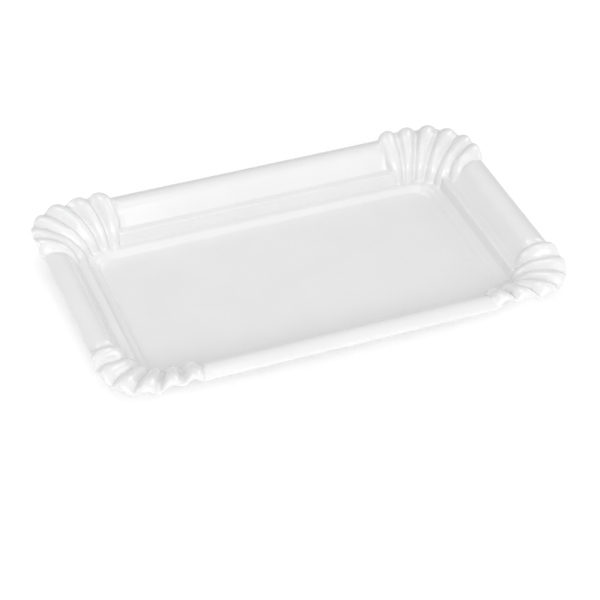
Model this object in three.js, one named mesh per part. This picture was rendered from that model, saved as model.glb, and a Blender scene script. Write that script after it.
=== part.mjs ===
// A china serving platter in the manner of a pressed-paper cake tray: a flat rectangular well,
// a wall that climbs in three risers with two narrow treads, a rolled rim along the four
// straight sides, and a fan of six rounded flutes round each corner, ending in a scalloped lip.
//
// It is one firing of porcelain, made of what a potter would name:
//   porcelain_body    the pressed, biscuit-fired casting
//   foot_ring         the ring under the base that it stands on, left bare and ground flat
//   glaze_coat        the glass skin over the well, wall, lip and outside, down to the foot ring
//   glaze_base_panel  the glazed panel inside the foot ring
//
// Millimetres, +Z up. X runs along the platter, the origin is on the table under its centre.
import * as THREE from 'three';
import { mergeVertices } from 'three/addons/utils/BufferGeometryUtils.js';

// ---------------------------------------------------------------- driving dimensions
const WELL_HALF_X = 113.1; // centre of the well to the foot of the end wall
const WELL_HALF_Y = 60.4; // centre of the well to the foot of the side wall
const WELL_CORNER = 12.5; // radius of the well's corners

const FOOT_HEIGHT = 1.8; // body's base plane above the table
const BASE_THICKNESS = 3.9; // body and glaze under the well
const GLAZE = 0.3; // thickness of the glaze
const SEAM = 0.02; // hairline between the glaze and the body
const WELL_TOP = FOOT_HEIGHT - GLAZE + BASE_THICKNESS; // glazed face of the well above the table

// The step that runs right round the well: distance out from the well's edge, height above the
// well, radius of its corners.
const STEP_RING = [
  [0, 0, WELL_CORNER], // edge of the well
  [3.2, 3.4, 14], // top of the first riser
  [8.1, 3.6, 16], // back of the lower tread, where the flutes spring from
];
// Section of the straight wall above it: distance out from the well's edge, height above the well.
const STRAIGHT_WALL = [
  [9.7, 11.3], // top of the second riser
  [14.9, 11.5], // back of the upper tread
  [18.7, 17.3], // third riser
  [21.5, 21.3],
  [24.2, 23.4],
  [27.5, 24.2], // crest of the rolled rim
  [31.3, 23.8],
  [34.5, 22.5],
  [36.0, 21.5], // top of the lip
];
// Section of the fluted wall along the valleys: share of the reach from the lower tread to the
// lip, and height above the well. It has one point for each point of STRAIGHT_WALL.
const FLUTED_WALL = [
  [0.09, 10.6],
  [0.2, 14.7],
  [0.35, 18.1],
  [0.5, 19.9],
  [0.63, 21.0],
  [0.76, 22.1],
  [0.87, 22.3],
  [0.96, 22.0],
  [1.0, 21.7],
];

const BASE_OUTSET = 2.2; // the flat base ends this far outside the well's edge
const WALL_THICKNESS = 3.2; // just above the base
const LIP_THICKNESS = 2.2; // also the diameter of the rounded lip

const FLUTES = 6; // flutes round each corner
const FLUTE_PITCHES = [0.83, 1.01, 1.04, 0.94, 1.0, 1.16]; // at the lip, from the long side round
const FLUTE_RISES = [0.27, 0.29, 0.29, 0.24, 0.21, 0.35]; // ridge above valley, share of the width
const RIDGE_SHARES = [1, 1.1, 1.2, 1.3, 1.3, 1.3, 1.23, 1.12, 0.98, 0.8]; // of it, level by level
const VALLEY_LIFTS = [1.6, 1.8, 0, 0, 0, 2.5, -0.7]; // lip's valleys above their usual height
const FLUTE_HALF_ANGLE = 1.25; // of the arc of a flute's round back
const TREAD_WIDTH = 6.2; // a flute's width at the lower tread and at the lip
const LIP_WIDTH = 14.8;
const RUN_END_X = 94.7; // where the long sides' straight rim ends
const RUN_END_Y = 50.4; // where the short sides' straight rim ends
const SPRING_X = 95.0; // the same ends on the lower tread
const SPRING_Y = 46.0;
const SWELL_X = 3.6; // how far the outer flutes swell over the straight walls
const SWELL_Y = 1.2;
const LIP_CORNER = 28.5; // radius of the lip's outline at the corners
const LIP_FLARE = 1.4; // the valleys' lip lies this far outside the straight lip
const LIP_NOSE = 1.2; // the rounded lip's reach beyond its section's end
// On the short sides the last flute springs from the upper tread. These are its shares in the
// wall's plan and height there, level by level.
const TREAD_FOOT_OUT = [0, 0, 0.25, 0.65, 0.92];
const TREAD_FOOT_UP = [0, 0, 0, 0.5, 0.85];
// One corner was drawn in a little in the firing: +X, -Y, by this much along X and Y.
const DRAWN_IN = [-1.75, -2.8];
const FLUTE_STEPS = [0.25, 0.5, 0.75]; // facets across a flute
const SIDE_FACE = 0.12; // share of the outer flute taken by its steep side face

const FOOT_INSET = 5; // foot ring's outer face in from the well's edge
const FOOT_CORNER = 16; // radius of its outer corners
const FOOT_WIDTH = 4.5; // width of the foot ring
const FOOT_CHAMFER = 0.6; // its two lower edges
const CLEARANCE = 0.3; // between the glaze's edges and the foot ring
const CORNER_STEPS = 6; // facets round a plain corner

const PORCELAIN = { color: 0xf4f2ec, roughness: 0.75, metalness: 0 };
const GLAZED = { color: 0xf7f8f8, roughness: 0.12, metalness: 0 };
const GROUND_FOOT = { color: 0xe9e4d9, roughness: 0.85, metalness: 0 };

// ---------------------------------------------------------------- plan outlines
// Point at share t of one corner's stretch of a rounded rectangle that lies `outset` outside the
// well, in the quarter x > 0, y > 0. The stretch takes in the whole round corner, from x = fromX
// on the long side to y = toY on the short side where those lie on the straight.
function cornerPoint(outset, radius, fromX, toY, t) {
  const centreX = WELL_HALF_X + outset - radius;
  const centreY = WELL_HALF_Y + outset - radius;
  const arc = (radius * Math.PI) / 2;
  const start = Math.min(fromX - centreX, 0);
  const end = arc + Math.max(centreY - toY, 0);
  const along = start + (end - start) * t;
  const angle = Math.min(Math.max(along / radius, 0), Math.PI / 2);
  return [
    centreX + radius * Math.sin(angle) + Math.min(along, 0),
    centreY + radius * Math.cos(angle) - Math.max(along - arc, 0),
  ];
}

// Level outline parallel to the foot ring's outer face and `inset` inside it, anticlockwise.
function footOutline(inset, z) {
  const halfX = WELL_HALF_X - FOOT_INSET - inset;
  const halfY = WELL_HALF_Y - FOOT_INSET - inset;
  const radius = FOOT_CORNER - inset;
  const points = [];
  for (let corner = 0; corner < 4; corner += 1) {
    const signX = corner === 0 || corner === 3 ? 1 : -1;
    const signY = corner < 2 ? 1 : -1;
    for (let step = 0; step <= CORNER_STEPS; step += 1) {
      const angle = (Math.PI / 2) * (corner + step / CORNER_STEPS);
      points.push([
        signX * (halfX - radius) + radius * Math.cos(angle),
        signY * (halfY - radius) + radius * Math.sin(angle),
        z,
      ]);
    }
  }
  return points;
}

// ---------------------------------------------------------------- one section of the wall
// Offsets an open line of [r, h] points to its right by a thickness that varies along it.
function offsetLine(line, thicknesses) {
  return line.map((point, index) => {
    const before = line[Math.max(index - 1, 0)];
    const after = line[Math.min(index + 1, line.length - 1)];
    const intoPoint = unit(point[0] - before[0], point[1] - before[1]);
    const outOfPoint = unit(after[0] - point[0], after[1] - point[1]);
    const first = intoPoint ?? outOfPoint;
    const second = outOfPoint ?? intoPoint;
    const normal = unit(first[1] + second[1], -first[0] - second[0]);
    const miter = 1 / (normal[0] * first[1] - normal[1] * first[0]);
    const reach = thicknesses[index] * miter;
    return [point[0] + normal[0] * reach, point[1] + normal[1] * reach];
  });
}

function unit(x, y) {
  const length = Math.hypot(x, y);
  return length > 0 ? [x / length, y / length] : null;
}

// Height of a round-backed flute over its valley, as a share of its full rise. f runs 0 to 1.
function fluteArch(f) {
  const radius = 0.5 / Math.sin(FLUTE_HALF_ANGLE);
  const depth = radius * Math.cos(FLUTE_HALF_ANGLE);
  const sag = Math.sqrt(radius * radius - (f - 0.5) ** 2) - depth;
  return Math.max(sag, 0) / (radius - depth);
}

function pitchShare(station) {
  const total = FLUTE_PITCHES.reduce((sum, pitch) => sum + pitch, 0);
  const whole = Math.min(Math.floor(station), FLUTES - 1);
  const before = FLUTE_PITCHES.slice(0, whole).reduce((sum, pitch) => sum + pitch, 0);
  return (before + FLUTE_PITCHES[whole] * (station - whole)) / total;
}

const mix = (a, b, share) => a + (b - a) * share;
const WALL_LEVELS = STRAIGHT_WALL.length;
const UNDER_LEVELS = [9, 7, 5, 3, 2, 1, 0]; // points of the section that the underside needs
const clamp = (value) => Math.min(Math.max(value, 0), 1);
const levelThickness = (level) => mix(WALL_THICKNESS, LIP_THICKNESS, level / WALL_LEVELS);

// Top line and underline of the wall at a station round the corner, 0 to FLUTES, in the quarter
// x > 0, y > 0. Both run from the lower tread to the lip and hold [x, y, height above the well].
// The lip is moved by the shift [x, y].
function wallLines(station, shift) {
  const spring = STEP_RING[2];
  const foot = cornerPoint(spring[0], spring[2], SPRING_X, SPRING_Y, station / FLUTES);
  const lipOutset = STRAIGHT_WALL[WALL_LEVELS - 1][0] + LIP_FLARE;
  const lip = cornerPoint(lipOutset, LIP_CORNER, RUN_END_X, RUN_END_Y, pitchShare(station))
    .map((value, axis) => value + shift[axis]);
  const reach = Math.hypot(lip[0] - foot[0], lip[1] - foot[1]);
  const out = [(lip[0] - foot[0]) / reach, (lip[1] - foot[1]) / reach];

  const flute = Math.min(Math.floor(station), FLUTES - 1);
  const inFlute = station - flute;
  const arch = fluteArch(inFlute);
  const lipLift = mix(VALLEY_LIFTS[flute], VALLEY_LIFTS[flute + 1], inFlute);
  const valley = [[0, spring[1]], ...FLUTED_WALL.map(([share, height]) =>
    [share * reach, height + lipLift * share * share])];
  const thickness = valley.map((_, level) => levelThickness(level));
  const under = offsetLine(valley, thickness);
  const upward = offsetLine(valley, valley.map(() => -1));

  const full = clamp(Math.min(station, FLUTES - station) / SIDE_FACE);
  const last = clamp((station - FLUTES + 1) / SIDE_FACE);
  const onLongSide = station < FLUTES / 2;
  const straight = [spring, ...STRAIGHT_WALL];
  const straightUnder = offsetLine(straight, thickness);

  const place = (level, point, lift, plain) => {
    const share = valley[level][0] / reach;
    const swell = Math.sin(Math.PI * (level / WALL_LEVELS));
    const width = mix(TREAD_WIDTH, LIP_WIDTH, share);
    const direction = unit(
      Math.min(upward[level][0] - valley[level][0], 0),
      upward[level][1] - valley[level][1],
    );
    const rise = lift * arch * FLUTE_RISES[flute] * RIDGE_SHARES[level] * width;
    const r = point[0] + direction[0] * rise;
    const x = foot[0] + out[0] * r - SWELL_X * swell * Math.max(1 - station, 0);
    const y = foot[1] + out[1] * r - SWELL_Y * swell * Math.max(station - FLUTES + 1, 0);
    const height = point[1] + direction[1] * rise;
    const outShare = full * mix(1, TREAD_FOOT_OUT[level] ?? 1, last);
    const upShare = full * mix(1, TREAD_FOOT_UP[level] ?? 1, last);
    return [
      onLongSide ? x : mix(WELL_HALF_X + plain[0], x, outShare),
      onLongSide ? mix(WELL_HALF_Y + plain[0], y, full) : y,
      mix(plain[1], height, upShare),
    ];
  };
  return {
    top: valley.map((point, level) => place(level, point, 1, straight[level])),
    under: under.map((point, level) =>
      place(level, point, level / WALL_LEVELS, straightUnder[level])),
  };
}

// ---------------------------------------------------------------- loops round the platter
// Stations of one corner: valleys, ridges and the facets between, with the two side faces.
function cornerStations() {
  const stations = [0, SIDE_FACE];
  for (let flute = 0; flute < FLUTES; flute += 1) {
    if (flute > 0) stations.push(flute);
    for (const step of FLUTE_STEPS) stations.push(flute + step);
  }
  stations.push(FLUTES - SIDE_FACE, FLUTES);
  return stations;
}

// All stations anticlockwise round the platter, each a function from a quarter's point.
function loopStations() {
  const corner = cornerStations();
  const loop = [];
  const quarters = [[1, 1, true], [-1, 1, false], [-1, -1, true], [1, -1, false]];
  for (const [signX, signY, backwards] of quarters) {
    const order = backwards ? [...corner].reverse() : corner;
    for (const station of order) loop.push({ station, signX, signY });
  }
  return loop;
}

// Every loop of points over the glazed surface, from the well's edge over the lip to the base.
function glazedLoops(loop) {
  const columns = loop.map(({ station, signX, signY }) => {
    const drawnIn = signX > 0 && signY < 0;
    const { top, under } = wallLines(station, drawnIn ? DRAWN_IN : [0, 0]);
    const level = (outset, radius, height) =>
      [...cornerPoint(outset, radius, SPRING_X, SPRING_Y, station / FLUTES), height];
    const ring = STEP_RING.slice(0, 2).map(([outset, height, radius]) =>
      level(outset, radius, height));
    const lipTop = top[WALL_LEVELS];
    const lipUnder = under[WALL_LEVELS];
    const before = top[WALL_LEVELS - 1];
    const lipRun = Math.hypot(...lipTop.map((value, axis) => value - before[axis]));
    const nose = lipTop.map((value, axis) =>
      (value + lipUnder[axis]) / 2 + ((value - before[axis]) / lipRun) * LIP_NOSE);
    const base = level(BASE_OUTSET, WELL_CORNER, -BASE_THICKNESS);
    const glazeEdge = level(CLEARANCE - FOOT_INSET, FOOT_CORNER + CLEARANCE, -BASE_THICKNESS);
    const underside = UNDER_LEVELS.map((wallLevel) => under[wallLevel]);
    const column = [...ring, ...top, nose, ...underside, base, glazeEdge];
    return column.map(([x, y, height]) => [signX * x, signY * y, WELL_TOP + height]);
  });
  return columns[0].map((_, level) => columns.map((column) => column[level]));
}

// ---------------------------------------------------------------- meshes
// Closes a stack of equal loops into one body. Capped loops are fanned from their middle.
function stackGeometry(loops, { closedTube }) {
  const count = loops[0].length;
  const positions = loops.flat(2);
  const triangles = [];
  const last = loops.length - 1;
  const bands = closedTube ? loops.length : last;
  for (let band = 0; band < bands; band += 1) {
    const lower = band * count;
    const upper = ((band + 1) % loops.length) * count;
    for (let i = 0; i < count; i += 1) {
      const j = (i + 1) % count;
      triangles.push(lower + i, upper + j, lower + j, lower + i, upper + i, upper + j);
    }
  }
  if (!closedTube) {
    const first = addCentre(positions, loops[0]);
    const end = addCentre(positions, loops[last]);
    for (let i = 0; i < count; i += 1) {
      const j = (i + 1) % count;
      triangles.push(first, i, j, end, last * count + j, last * count + i);
    }
  }
  const geometry = new THREE.BufferGeometry();
  geometry.setAttribute('position', new THREE.Float32BufferAttribute(positions, 3));
  geometry.setIndex(triangles);
  return mergeVertices(geometry);
}

function addCentre(positions, loop) {
  positions.push(0, 0, loop[0][2]);
  return positions.length / 3 - 1;
}

// Loops moved into the wall by the given depth, square to the surface.
function sunkLoops(loops, depth) {
  const solid = stackGeometry(loops, { closedTube: false });
  solid.computeVertexNormals();
  const normals = new Map();
  const key = (point) => point.map((value) => Math.fround(value)).join(',');
  const position = solid.getAttribute('position');
  const normal = solid.getAttribute('normal');
  for (let i = 0; i < position.count; i += 1) {
    const at = [position.getX(i), position.getY(i), position.getZ(i)];
    normals.set(key(at), [normal.getX(i), normal.getY(i), normal.getZ(i)]);
  }
  const moved = loops.map((loop) => loop.map((point) => {
    const away = normals.get(key(point));
    return point.map((value, axis) => value - depth * away[axis]);
  }));
  for (const point of moved[0]) point[2] = WELL_TOP - depth;
  for (const point of moved.slice(-2).flat()) point[2] = FOOT_HEIGHT - GLAZE + depth;
  const edge = loops[loops.length - 1];
  moved[moved.length - 1].forEach((point, i) => {
    point[0] = edge[i][0];
    point[1] = edge[i][1];
  });
  return moved;
}

function piece(name, geometry, finish) {
  geometry.computeVertexNormals();
  const mesh = new THREE.Mesh(geometry, new THREE.MeshStandardMaterial(finish));
  mesh.name = name;
  return mesh;
}

// The glaze is a closed skin: its outside, turned back on the body's surface underneath.
function glazeCoat(outer, inner) {
  const count = outer[0].length;
  const positions = [...outer.flat(2), ...inner.flat(2)];
  const innerStart = outer.length * count;
  const last = outer.length - 1;
  const triangles = [];
  const quad = (a, b, c, d) => triangles.push(a, b, c, a, c, d);
  for (let band = 0; band < last; band += 1) {
    for (let i = 0; i < count; i += 1) {
      const j = (i + 1) % count;
      const lower = band * count;
      const upper = lower + count;
      triangles.push(lower + i, upper + j, lower + j, lower + i, upper + i, upper + j);
      const a = innerStart + lower;
      const b = innerStart + upper;
      triangles.push(a + i, a + j, b + j, a + i, b + j, b + i);
    }
  }
  const outerCentre = addCentre(positions, outer[0]);
  const innerCentre = addCentre(positions, inner[0]);
  for (let i = 0; i < count; i += 1) {
    const j = (i + 1) % count;
    triangles.push(outerCentre, i, j);
    triangles.push(innerCentre, innerStart + j, innerStart + i);
    const rim = last * count;
    quad(rim + i, innerStart + rim + i, innerStart + rim + j, rim + j);
  }
  const geometry = new THREE.BufferGeometry();
  geometry.setAttribute('position', new THREE.Float32BufferAttribute(positions, 3));
  geometry.setIndex(triangles);
  return mergeVertices(geometry);
}

// Plain ring under the base, with its two lower edges eased.
function footRing() {
  return stackGeometry([
    footOutline(FOOT_WIDTH, FOOT_HEIGHT),
    footOutline(0, FOOT_HEIGHT),
    footOutline(0, FOOT_CHAMFER),
    footOutline(FOOT_CHAMFER, 0),
    footOutline(FOOT_WIDTH - FOOT_CHAMFER, 0),
    footOutline(FOOT_WIDTH, FOOT_CHAMFER),
  ], { closedTube: true });
}

function basePanel() {
  const inset = FOOT_WIDTH + CLEARANCE;
  return stackGeometry([
    footOutline(inset, FOOT_HEIGHT),
    footOutline(inset, FOOT_HEIGHT - GLAZE),
  ], { closedTube: false });
}

// ---------------------------------------------------------------- assembly
const glazed = glazedLoops(loopStations());
const body = sunkLoops(glazed, GLAZE);
const glazeBack = sunkLoops(glazed, GLAZE - SEAM);

const platter = new THREE.Group();
platter.add(
  piece('porcelain_body', stackGeometry(body, { closedTube: false }), PORCELAIN),
  piece('foot_ring', footRing(), GROUND_FOOT),
  piece('glaze_coat', glazeCoat(glazed, glazeBack), GLAZED),
  piece('glaze_base_panel', basePanel(), GLAZED),
);

export default platter;
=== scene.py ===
# A china serving platter in the manner of a pressed-paper cake tray, in white glazed porcelain.
# The glazed surface, the panel under the base and the bare foot ring are built fine here, round
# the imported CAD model, with procedural porcelain materials, a pale floor and soft studio light.
import math

import bpy
import numpy as np
from mathutils import Matrix, Vector


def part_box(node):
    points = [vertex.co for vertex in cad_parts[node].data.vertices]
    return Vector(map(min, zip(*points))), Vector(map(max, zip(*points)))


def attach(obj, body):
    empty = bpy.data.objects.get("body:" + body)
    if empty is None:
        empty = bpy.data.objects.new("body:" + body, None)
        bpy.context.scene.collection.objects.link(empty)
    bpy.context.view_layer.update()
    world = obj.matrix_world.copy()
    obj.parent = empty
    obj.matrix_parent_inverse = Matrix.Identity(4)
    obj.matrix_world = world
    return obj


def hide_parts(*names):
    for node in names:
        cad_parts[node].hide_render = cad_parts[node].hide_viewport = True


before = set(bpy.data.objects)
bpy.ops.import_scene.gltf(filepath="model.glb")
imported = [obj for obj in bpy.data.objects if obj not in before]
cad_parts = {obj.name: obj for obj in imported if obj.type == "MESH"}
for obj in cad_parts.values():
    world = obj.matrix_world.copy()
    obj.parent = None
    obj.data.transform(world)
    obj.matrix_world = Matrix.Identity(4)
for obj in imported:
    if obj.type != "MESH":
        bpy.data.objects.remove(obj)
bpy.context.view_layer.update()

MM = 0.001  # the shape is worked out in millimetres above the well's face

# ---------------------------------------------------------------- driving dimensions
BASE_THICKNESS = 3.9  # body and glaze under the well
FOOT_INSET = 5  # foot ring's outer face in from the well's edge
FOOT_CORNER = 16  # radius of its outer corners
FOOT_WIDTH = 4.5
FOOT_EASE = 0.7  # radius of its two lower edges
foot_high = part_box("foot_ring")[1] / MM
WELL_HALF_X = foot_high.x + FOOT_INSET
WELL_HALF_Y = foot_high.y + FOOT_INSET
WELL_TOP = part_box("glaze_coat")[0].z / MM + BASE_THICKNESS
WELL_CORNER = 12.5

# Round the well: distance out from its edge, height above it, radius of the corners.
STEP_RING = [(0, 0, WELL_CORNER), (3.2, 3.4, 14), (8.1, 3.6, 16)]
# The straight wall above the lower tread: distance out, height.
STRAIGHT_WALL = [
    (9.7, 11.3), (14.9, 11.5), (18.7, 17.3), (21.5, 21.3), (24.2, 23.4),
    (27.5, 24.2), (31.3, 23.8), (34.5, 22.5), (36.0, 21.5),
]
# The fluted wall along its valleys: share of the reach from the lower tread to the lip, height.
FLUTED_WALL = [
    (0.09, 10.6), (0.2, 14.7), (0.35, 18.1), (0.5, 19.9), (0.63, 21.0),
    (0.76, 22.1), (0.87, 22.3), (0.96, 22.0), (1.0, 21.7),
]
LEVELS = len(STRAIGHT_WALL)
BASE_OUTSET = 2.2  # the flat base ends this far outside the well's edge
WALL_THICKNESS = 3.2  # just above the base
LIP_THICKNESS = 2.2
LIP_REACH = 0.85  # of the rounded lip, as a share of half its thickness

FLUTES = 6
FLUTE_PITCHES = np.array([0.83, 1.01, 1.04, 0.94, 1.0, 1.16])  # from the long side round
FLUTE_RISES = np.array([0.27, 0.29, 0.29, 0.24, 0.21, 0.35])  # ridge over valley, by width
FLUTE_HALF_ANGLE = 1.25  # of the round back's arc, in radians
FLUTE_LEVELS = [0, 3, 5, 6, 8, 9]  # wall levels at which the next two lists hold
VALLEY_HALVES = [0.12, 0.12, 0.11, 0.1, 0.12, 0.22]  # half of a valley's rounded width, in flutes
RIDGE_SHARES = [1, 1.3, 1.29, 1.17, 0.96, 0.8]  # share of the flute's rise
# On the short sides the last flute springs from the upper tread: its share in the wall's plan and
# height there, at levels 0 to 5.
TREAD_FOOT_OUT = [0, 0, 0.25, 0.65, 0.92, 1]
TREAD_FOOT_UP = [0, 0, 0, 0.5, 0.85, 1]
VALLEY_LIFTS = [1.6, 1.8, 0, 0, 0, 2.5, -0.7]  # the lip's valleys above their usual height
TREAD_WIDTH = 6.2  # a flute's width at the lower tread and at the lip
LIP_WIDTH = 14.8
RUN_END_X = 94.7  # where the long sides' straight rim ends
RUN_END_Y = 50.4  # where the short sides' straight rim ends
SPRING_X = 95.0  # the same ends on the lower tread
SPRING_Y = 46.0
END_SWELLS = (3.6, 1.2)  # of the outer flutes over the long and the short sides
LIP_CORNER = 28.5  # radius of the lip's outline at the corners
LIP_FLARE = 1.4  # the valleys' lip lies this far outside the straight lip
PINCH = {(1, -1): (-1.75, -2.8)}  # one corner was drawn in a little in the firing
SIDE_FACE = 0.12  # share of the outer flutes taken by their steep side faces

# How fine the surface is, and how far its edges are eased.
STEPS_PER_FLUTE = 20
STEPS_PER_LEVEL = 8
RUN_STEP = 4.0  # mm between sections along the straight sides
EASE_LEVEL = 0.1  # eased edges of the treads, in wall levels
EDGE_LEVELS = [0.92, 0.96, 1.04, 1.08, 1.92, 1.96, 2.04, 2.08]  # extra sections at those edges
EASE_STATION = 0.04  # eased valleys between the flutes, in flutes
LEVEL_SAMPLES = 9  # places averaged to ease a tread's edge
STATION_SAMPLES = 7  # places averaged to ease a valley
SLOPE_STEP = 0.05  # levels to either side between which the straight wall's slope is taken
BEND_STEPS = 4  # facets round the bends of the well and the base
LIP_STEPS = 8  # facets round the lip
FLAT_MARGIN = 4  # the flat well and base are meshed whole from this far inside the well's edge
INNER_LOOPS = (0.25, 0.5, 0.75)  # loops across the flat well, as shares of its size
FOOT_CORNER_STEPS = 12
FOOT_EDGE_LOOPS = 6
NOISE_LOW, NOISE_HIGH = 0.35, 0.65  # the noise's middle range, over which the blends run

# ---------------------------------------------------------------- stage
FLOOR_HALF = 6.0  # metres
FLOOR_WHITE = 0.95
FLOOR_ROUGHNESS = 0.12  # a faint mirror
FLOOR_GLOW = 0.13
SKY = 0.28
LAMP_DISTANCE = 2.2  # metres, from the middle of the platter's foot
LAMP_SIZE = 0.95
# Name, azimuth, elevation, watts. Azimuth 0 is on the -Y side and 90 on the +X side.
LAMPS = [
    ("key", -30, 35, 16),
    ("overhead", 0, 88, 5),
    ("front", 0, 35, 8),
    ("front_low", -10, 14, 5),
    ("back_left", -150, 60, 7.5),
    ("back_right", 120, 35, 7.5),
    ("front_high", -30, 60, 3.5),
    ("front_right", 30, 35, 3),
    ("left_high", -60, 60, 1.5),
    ("right_high", 30, 60, 2),
    ("right_low", 30, 12, 3),
    ("left_low", -120, 12, 9),
    ("side_low", 90, 12, 7),
]
CAMERA_AZIMUTH, CAMERA_ELEVATION, CAMERA_ROLL = -21.25, 38.14, 0.28  # degrees
CAMERA_DISTANCE = 1.3074  # metres
CAMERA_AIM = (-0.00666, -0.0210)  # x and y on the well's face, in metres
CAMERA_LENS = 126.3  # mm
CAMERA_SENSOR = 36  # mm


# ---------------------------------------------------------------- plan and sections
def corner_point(outset, radius, from_x, to_y, share):
    """Points round one corner of a rounded rectangle that lies outset outside the well."""
    share = np.asarray(share, float)
    centre_x = WELL_HALF_X + outset - radius
    centre_y = WELL_HALF_Y + outset - radius
    arc = radius * math.pi / 2
    start = min(from_x - centre_x, 0)
    end = arc + max(centre_y - to_y, 0)
    along = start + (end - start) * share
    angle = np.clip(along / radius, 0, math.pi / 2)
    x = centre_x + radius * np.sin(angle) + np.minimum(along, 0)
    y = centre_y + radius * np.cos(angle) - np.maximum(along - arc, 0)
    return np.stack([x, y], -1)


def mix(a, b, share):
    return a + (b - a) * share


def natural_cubic(points):
    """The smooth curve through points at 0, 1, 2..., as a function that gives place and slope."""
    points = np.asarray(points, float)
    count = len(points)
    matrix = np.eye(count)
    second = np.zeros_like(points)
    for i in range(1, count - 1):
        matrix[i, i - 1:i + 2] = (1, 4, 1)
        second[i] = 6 * (points[i - 1] - 2 * points[i] + points[i + 1])
    bend = np.linalg.solve(matrix, second)

    def curve(t):
        t = np.asarray(t, float)
        i = np.clip(np.floor(t).astype(int), 0, count - 2)
        b = np.clip(t, 0, count - 1) - i
        b = b[..., None]
        a = 1 - b
        here, there = points[i], points[i + 1]
        value = a * here + b * there + ((a**3 - a) * bend[i] + (b**3 - b) * bend[i + 1]) / 6
        slope = there - here + ((1 - 3 * a**2) * bend[i] + (3 * b**2 - 1) * bend[i + 1]) / 6
        over = (t - np.clip(t, 0, count - 1))[..., None]
        return value + slope * over, slope

    return curve


fluted_curve = natural_cubic([(0, STEP_RING[2][1]), *FLUTED_WALL])
rim_curve = natural_cubic(STRAIGHT_WALL[1:])


def straight_section(level):
    """Distance out and height of the straight wall, with the edges of its treads eased."""
    steps = np.array([STEP_RING[2][:2], *STRAIGHT_WALL[:2]], float)
    total = 0
    offsets = np.linspace(-EASE_LEVEL, EASE_LEVEL, LEVEL_SAMPLES)
    for offset in offsets:
        t = np.asarray(level, float) + offset
        i = np.clip(np.floor(t).astype(int), 0, 1)
        line = steps[i] + (steps[i + 1] - steps[i]) * (t - i)[..., None]
        total = total + np.where((t < 2)[..., None], line, rim_curve(t - 2)[0])
    return total / len(offsets)


def flute_arch(f, valley):
    """Height of a round-backed flute over its rounded valley, as a share of its full rise."""
    radius = 0.5 / math.sin(FLUTE_HALF_ANGLE)
    f = np.minimum(f, 1 - f)
    sag = np.sqrt(np.maximum(radius**2 - (f - 0.5) ** 2, 0))
    edge = np.sqrt(radius**2 - (valley - 0.5) ** 2)
    slope = (0.5 - valley) / edge
    low = edge - slope * valley / 2
    return np.where(f < valley, slope * f**2 / (2 * valley), sag - low) / (radius - low)


def thickness_at(level):
    return WALL_THICKNESS + (LIP_THICKNESS - WALL_THICKNESS) * level / LEVELS


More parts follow.
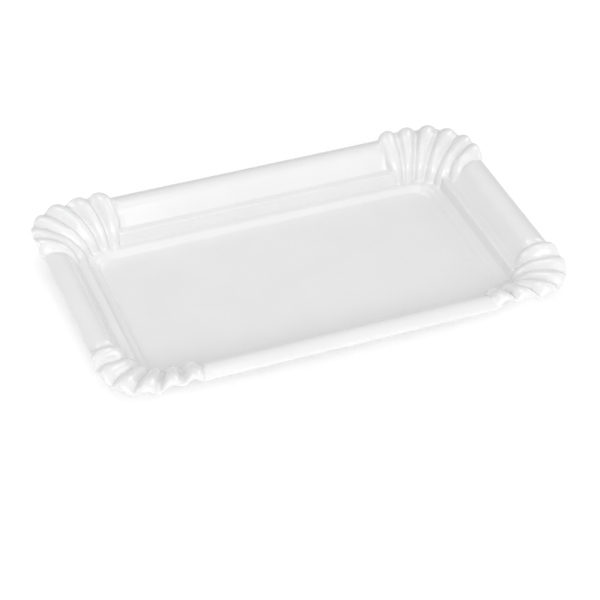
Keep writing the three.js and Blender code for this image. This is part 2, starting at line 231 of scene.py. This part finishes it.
def sharp_wall(station, level, side, pinch):
    """The wall's point in the quarter x > 0, y > 0. side is 0 on top and 1 underneath."""
    station, level = np.broadcast_arrays(np.asarray(station, float), np.asarray(level, float))
    inside = np.clip(station, 0, FLUTES)
    beyond = station - inside
    pitch_sum = np.concatenate([[0], np.cumsum(FLUTE_PITCHES)]) / FLUTE_PITCHES.sum()
    spring = STEP_RING[2]
    foot = corner_point(spring[0], spring[2], SPRING_X, SPRING_Y, inside / FLUTES)
    lip_share = np.interp(inside, np.arange(FLUTES + 1), pitch_sum)
    lip_outset = STRAIGHT_WALL[-1][0] + LIP_FLARE
    lip = corner_point(lip_outset, LIP_CORNER, RUN_END_X, RUN_END_Y, lip_share) + np.array(pinch)
    reach = np.linalg.norm(lip - foot, axis=-1)
    out = (lip - foot) / reach[..., None]

    value, slope = fluted_curve(level)
    r = value[..., 0] * reach
    lip_lift = np.interp(inside, np.arange(FLUTES + 1), VALLEY_LIFTS)
    height = value[..., 1] + lip_lift * value[..., 0] ** 2
    width = TREAD_WIDTH + (LIP_WIDTH - TREAD_WIDTH) * value[..., 0]
    along, up = slope[..., 0] * reach, slope[..., 1]
    normal_r, normal_h = -up, along
    size = np.hypot(normal_r, normal_h)
    normal_r, normal_h = normal_r / size, normal_h / size
    depth = thickness_at(level) * side
    r, height = r - normal_r * depth, height - normal_h * depth
    in_r = np.minimum(normal_r, 0)
    size = np.hypot(in_r, normal_h)
    in_r, in_h = in_r / size, normal_h / size
    flute = np.minimum(np.floor(inside), FLUTES - 1).astype(int)
    lift = 1 if side == 0 else level / LEVELS
    valley = np.interp(level, FLUTE_LEVELS, VALLEY_HALVES)
    ridge = np.interp(level, FLUTE_LEVELS, RIDGE_SHARES) * FLUTE_RISES[flute]
    rise = flute_arch(inside - flute, valley) * ridge * width * lift
    swell = np.sin(math.pi * level / LEVELS)
    swell_x = END_SWELLS[0] * swell * np.maximum(1 - inside, 0)
    swell_y = END_SWELLS[1] * swell * np.maximum(inside - FLUTES + 1, 0)
    x = foot[..., 0] + out[..., 0] * (r + in_r * rise) - swell_x
    y = foot[..., 1] + out[..., 1] * (r + in_r * rise) - swell_y
    z = height + in_h * rise

    plain = straight_section(level)
    if side:
        ahead = straight_section(level + SLOPE_STEP)
        behind = straight_section(level - SLOPE_STEP)
        run = ahead - behind
        run = run / np.linalg.norm(run, axis=-1, keepdims=True)
        plain = plain + np.stack([run[..., 1], -run[..., 0]], -1) * depth[..., None]
    full = np.clip(np.minimum(inside, FLUTES - inside) / SIDE_FACE, 0, 1)
    last = np.clip((inside - FLUTES + 1) / SIDE_FACE, 0, 1)
    out_share = full * (1 - last * (1 - np.interp(level, range(6), TREAD_FOOT_OUT)))
    up_share = full * (1 - last * (1 - np.interp(level, range(6), TREAD_FOOT_UP)))
    long_side = inside < FLUTES / 2
    x = np.where(long_side, x, (WELL_HALF_X + plain[..., 0]) * (1 - out_share) + x * out_share)
    y = np.where(long_side, (WELL_HALF_Y + plain[..., 0]) * (1 - full) + y * full, y)
    z = plain[..., 1] * (1 - up_share) + z * up_share
    x = x + np.minimum(beyond, 0) * LIP_WIDTH
    y = y - np.maximum(beyond, 0) * LIP_WIDTH
    return np.stack([x, y, z], -1)


def wall(station, level, pinch, side=0):
    """The wall's point, with the valleys between the flutes eased."""
    offsets = np.linspace(-EASE_STATION, EASE_STATION, STATION_SAMPLES)
    points = [sharp_wall(station + offset, level, side, pinch) for offset in offsets]
    return sum(points) / len(offsets)


def bend(a, corner, b):
    """Points of a round bend from a to b, inside the corner."""
    shares = np.linspace(0, 1, BEND_STEPS + 1)[:, None, None]
    return (1 - shares) ** 2 * a + 2 * shares * (1 - shares) * corner + shares**2 * b


def glazed_columns(stations, pinch):
    """Rows of points from the middle of the well over the lip to the base, for each station."""
    def ring(outset, height, radius):
        plan = corner_point(outset, radius, SPRING_X, SPRING_Y, np.clip(stations / FLUTES, 0, 1))
        return np.concatenate([plan, np.full((len(stations), 1), float(height))], -1)

    edge, riser_top, _ = (ring(*point) for point in STEP_RING)
    flat = ring(-FLAT_MARGIN, 0, WELL_CORNER - FLAT_MARGIN)
    spring = wall(stations, 0.0, pinch)
    levels = np.arange(1, LEVELS * STEPS_PER_LEVEL + 1) / STEPS_PER_LEVEL
    levels = np.sort(np.concatenate([levels, EDGE_LEVELS]))
    top = wall(stations[None, :], levels[:, None], pinch)
    under = wall(stations[None, :], levels[::-1][:, None], pinch, side=1)
    tip, tip_under = top[-1], under[0]
    middle, half = (tip + tip_under) / 2, (tip - tip_under) / 2
    outward = tip - top[-2]
    outward -= half * ((outward * half).sum(-1) / (half * half).sum(-1))[:, None]
    outward *= (np.linalg.norm(half, axis=-1) / np.linalg.norm(outward, axis=-1))[:, None]
    turns = np.linspace(0, math.pi, LIP_STEPS + 1)[1:-1, None, None]
    lip = middle + half * np.cos(turns) + outward * np.sin(turns) * LIP_REACH
    base = ring(BASE_OUTSET, -BASE_THICKNESS, WELL_CORNER)
    base_in = ring(-FLAT_MARGIN, -BASE_THICKNESS, WELL_CORNER)
    rows = [
        flat[None],
        bend(mix(edge, flat, 0.35), edge, mix(edge, riser_top, 0.3)),
        bend(mix(riser_top, edge, 0.25), riser_top, mix(riser_top, spring, 0.22)),
        bend(mix(spring, riser_top, 0.3), spring, top[0])[:-1],
        top,
        lip,
        under,
        bend(mix(base, under[-1], 0.3), base, mix(base, base_in, 0.3)),
        base_in[None],
    ]
    return np.concatenate(rows)


def whole_loop():
    """Every section round the platter, anticlockwise, as an array of rows, sections and x, y, z."""
    count = FLUTES * STEPS_PER_FLUTE
    stations = np.linspace(-EASE_STATION, FLUTES + EASE_STATION, count + 1)
    parts = []
    for sign_x, sign_y, backwards in ((1, 1, True), (-1, 1, False), (-1, -1, True), (1, -1, False)):
        corner = glazed_columns(stations, PINCH.get((sign_x, sign_y), (0, 0)))
        quarter = corner * np.array([sign_x, sign_y, 1])
        parts.append(quarter[:, ::-1] if backwards else quarter)
    loop = []
    for part, following in zip(parts, parts[1:] + parts[:1]):
        first, last = part[:, -1], following[:, 0]
        run = np.linalg.norm(last - first, axis=-1).max()
        shares = np.arange(1, int(run / RUN_STEP)) / int(run / RUN_STEP)
        between = first[:, None] + (last - first)[:, None] * shares[None, :, None]
        loop += [part, between]
    return np.concatenate(loop, 1)


# ---------------------------------------------------------------- meshes
def mesh_piece(name, points, faces, material):
    mesh = bpy.data.meshes.new(name)
    mesh.from_pydata([tuple(p) for p in points], [], faces)
    mesh.validate()
    mesh.update()
    mesh.shade_smooth()
    mesh.materials.append(material)
    piece = bpy.data.objects.new(name, mesh)
    bpy.context.scene.collection.objects.link(piece)
    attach(piece, "root")
    return piece


def grid_faces(rows, columns, closed_rows=False):
    """Quads between neighbouring loops; faces point out for loops that run anticlockwise."""
    faces = []
    for row in range(rows if closed_rows else rows - 1):
        a, b = row * columns, (row + 1) % rows * columns
        for i in range(columns):
            j = (i + 1) % columns
            faces.append((a + i, b + i, b + j, a + j))
    return faces


def glazed_platter(material):
    loops = whole_loop()
    rows, columns = loops.shape[:2]
    inner_top = [loops[0] * np.array([share, share, 1]) for share in INNER_LOOPS]
    loops = np.concatenate([np.stack(inner_top), loops])
    rows += len(inner_top)
    points = loops.reshape(-1, 3)
    centre_top = np.array([[0, 0, 0]])
    centre_base = np.array([[0, 0, -BASE_THICKNESS]])
    points = np.concatenate([points, centre_top, centre_base])
    faces = grid_faces(rows, columns)
    top, base, last = rows * columns, rows * columns + 1, (rows - 1) * columns
    for i in range(columns):
        j = (i + 1) % columns
        faces.append((top, i, j))
        faces.append((base, last + j, last + i))
    points = (points + np.array([0, 0, WELL_TOP])) * MM
    return mesh_piece("glazed_platter", points, faces, material)


def foot_outline(inset, z):
    """Level loop parallel to the foot ring's outer face, in metres, from the ring's own box."""
    low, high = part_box("foot_ring")
    radius = FOOT_CORNER * MM - inset
    points = []
    for corner in range(4):
        sign_x = 1 if corner in (0, 3) else -1
        sign_y = 1 if corner < 2 else -1
        for step in range(FOOT_CORNER_STEPS + 1):
            angle = math.pi / 2 * (corner + step / FOOT_CORNER_STEPS)
            points.append((
                sign_x * (high.x - inset - radius) + radius * math.cos(angle),
                sign_y * (high.y - inset - radius) + radius * math.sin(angle),
                low.z + z,
            ))
    return points


def foot_ring(material):
    low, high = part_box("foot_ring")
    height = high.z - low.z
    width, ease = FOOT_WIDTH * MM, FOOT_EASE * MM
    loops = [foot_outline(width, height), foot_outline(0, height)]
    for turn in np.linspace(0, math.pi / 2, FOOT_EDGE_LOOPS):
        loops.append(foot_outline(ease * (1 - math.cos(turn)), ease * (1 - math.sin(turn))))
    for turn in np.linspace(math.pi / 2, 0, FOOT_EDGE_LOOPS):
        inset = width - ease * (1 - math.cos(turn))
        loops.append(foot_outline(inset, ease * (1 - math.sin(turn))))
    points = [point for loop in loops for point in loop]
    faces = grid_faces(len(loops), len(loops[0]), closed_rows=True)
    return mesh_piece("bare_foot_ring", points, faces, material)


# ---------------------------------------------------------------- materials
def new_material(name):
    material = bpy.data.materials.new(name)
    material.use_nodes = True
    nodes = material.node_tree.nodes
    return material, nodes, material.node_tree.links, nodes["Principled BSDF"]


def noise(nodes, links, scale, detail):
    """Noise fixed to the platter, with its scale in features per metre."""
    place = nodes.new("ShaderNodeTexCoord")
    texture = nodes.new("ShaderNodeTexNoise")
    texture.inputs["Scale"].default_value = scale
    texture.inputs["Detail"].default_value = detail
    links.new(place.outputs["Object"], texture.inputs["Vector"])
    return texture.outputs["Fac"]


def blend_colours(nodes, links, factor, low, high):
    ramp = nodes.new("ShaderNodeValToRGB")
    ramp.color_ramp.elements[0].position = NOISE_LOW
    ramp.color_ramp.elements[1].position = NOISE_HIGH
    ramp.color_ramp.elements[0].color = (*low, 1)
    ramp.color_ramp.elements[1].color = (*high, 1)
    links.new(factor, ramp.inputs["Fac"])
    return ramp.outputs["Color"]


def blend_values(nodes, links, factor, low, high):
    span = nodes.new("ShaderNodeMapRange")
    span.inputs["From Min"].default_value = NOISE_LOW
    span.inputs["From Max"].default_value = NOISE_HIGH
    span.inputs["To Min"].default_value = low
    span.inputs["To Max"].default_value = high
    links.new(factor, span.inputs["Value"])
    return span.outputs["Result"]


def relief(nodes, links, height, depth, strength):
    bump = nodes.new("ShaderNodeBump")
    bump.inputs["Distance"].default_value = depth
    bump.inputs["Strength"].default_value = strength
    links.new(height, bump.inputs["Height"])
    return bump.outputs["Normal"]


def white_glaze():
    """Glossy white glaze: faint clouds in the white, and the soft unevenness of fired glass."""
    material, nodes, links, shader = new_material("white_glaze")
    clouds = noise(nodes, links, 35, 3)
    colour = blend_colours(nodes, links, clouds, (0.736, 0.733, 0.738), (0.748, 0.745, 0.75))
    links.new(colour, shader.inputs["Base Color"])
    gloss = blend_values(nodes, links, noise(nodes, links, 90, 2), 0.09, 0.14)
    links.new(gloss, shader.inputs["Roughness"])
    shader.inputs["IOR"].default_value = 1.5
    waves = relief(nodes, links, noise(nodes, links, 120, 1), 0.0002, 0.03)
    links.new(waves, shader.inputs["Normal"])
    return material


def bare_porcelain():
    """The ground foot: matt, a little warmer than the glaze, with a fine gritty grain."""
    material, nodes, links, shader = new_material("bare_porcelain")
    patches = noise(nodes, links, 220, 6)
    colour = blend_colours(nodes, links, patches, (0.73, 0.7, 0.645), (0.8, 0.78, 0.73))
    links.new(colour, shader.inputs["Base Color"])
    dullness = blend_values(nodes, links, noise(nodes, links, 500, 4), 0.72, 0.9)
    links.new(dullness, shader.inputs["Roughness"])
    grit = relief(nodes, links, noise(nodes, links, 1500, 3), 0.0001, 0.4)
    links.new(grit, shader.inputs["Normal"])
    return material


# ---------------------------------------------------------------- stage, light and camera
def floor():
    mesh = bpy.data.meshes.new("floor")
    half = FLOOR_HALF
    mesh.from_pydata([(-half, -half, 0), (half, -half, 0), (half, half, 0), (-half, half, 0)],
                     [], [(0, 1, 2, 3)])
    material, _, _, shader = new_material("studio_floor")
    shader.inputs["Base Color"].default_value = (FLOOR_WHITE, FLOOR_WHITE, FLOOR_WHITE, 1)
    shader.inputs["Roughness"].default_value = FLOOR_ROUGHNESS
    shader.inputs["Emission Color"].default_value = (1, 1, 1, 1)
    shader.inputs["Emission Strength"].default_value = FLOOR_GLOW
    mesh.materials.append(material)
    piece = bpy.data.objects.new("floor", mesh)
    bpy.context.scene.collection.objects.link(piece)


def area_light(name, azimuth, elevation, power):
    """A square softbox aimed at the platter."""
    a, e = math.radians(azimuth), math.radians(elevation)
    away = Vector((math.sin(a) * math.cos(e), -math.cos(a) * math.cos(e), math.sin(e)))
    light = bpy.data.lights.new(name, "AREA")
    light.shape = "RECTANGLE"
    light.size = light.size_y = LAMP_SIZE
    light.energy = power
    lamp = bpy.data.objects.new(name, light)
    lamp.location = away * LAMP_DISTANCE
    lamp.rotation_mode = "QUATERNION"
    lamp.rotation_quaternion = away.to_track_quat("Z", "Y")
    bpy.context.scene.collection.objects.link(lamp)


def sky():
    world = bpy.data.worlds.new("studio")
    world.use_nodes = True
    background = world.node_tree.nodes["Background"]
    background.inputs["Color"].default_value = (1, 1, 1, 1)
    background.inputs["Strength"].default_value = SKY
    bpy.context.scene.world = world


def camera():
    """The photographer's place: above the front left, with a long lens."""
    azimuth, elevation = math.radians(CAMERA_AZIMUTH), math.radians(CAMERA_ELEVATION)
    roll = math.radians(CAMERA_ROLL)
    aim = Vector((*CAMERA_AIM, WELL_TOP * MM))
    back = Vector((math.sin(azimuth) * math.cos(elevation),
                   -math.cos(azimuth) * math.cos(elevation), math.sin(elevation)))
    forward = -back
    right = forward.cross(Vector((0, 0, 1))).normalized()
    up = right.cross(forward)
    right_rolled = right * math.cos(roll) + up * math.sin(roll)
    up_rolled = up * math.cos(roll) - right * math.sin(roll)
    data = bpy.data.cameras.new("camera")
    data.sensor_width = CAMERA_SENSOR
    data.lens = CAMERA_LENS
    data.clip_start, data.clip_end = 0.01, 20
    eye = bpy.data.objects.new("camera", data)
    rotation = Matrix((right_rolled, up_rolled, back)).transposed()
    eye.matrix_world = Matrix.Translation(aim + back * CAMERA_DISTANCE) @ rotation.to_4x4()
    bpy.context.scene.collection.objects.link(eye)
    bpy.context.scene.camera = eye


camera()
floor()
sky()
for lamp_settings in LAMPS:
    area_light(*lamp_settings)
bpy.context.scene.view_settings.view_transform = "Standard"

glaze = white_glaze()
platter = glazed_platter(glaze)
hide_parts("porcelain_body", "glaze_coat", "glaze_base_panel")
foot = foot_ring(bare_porcelain())
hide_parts("foot_ring")
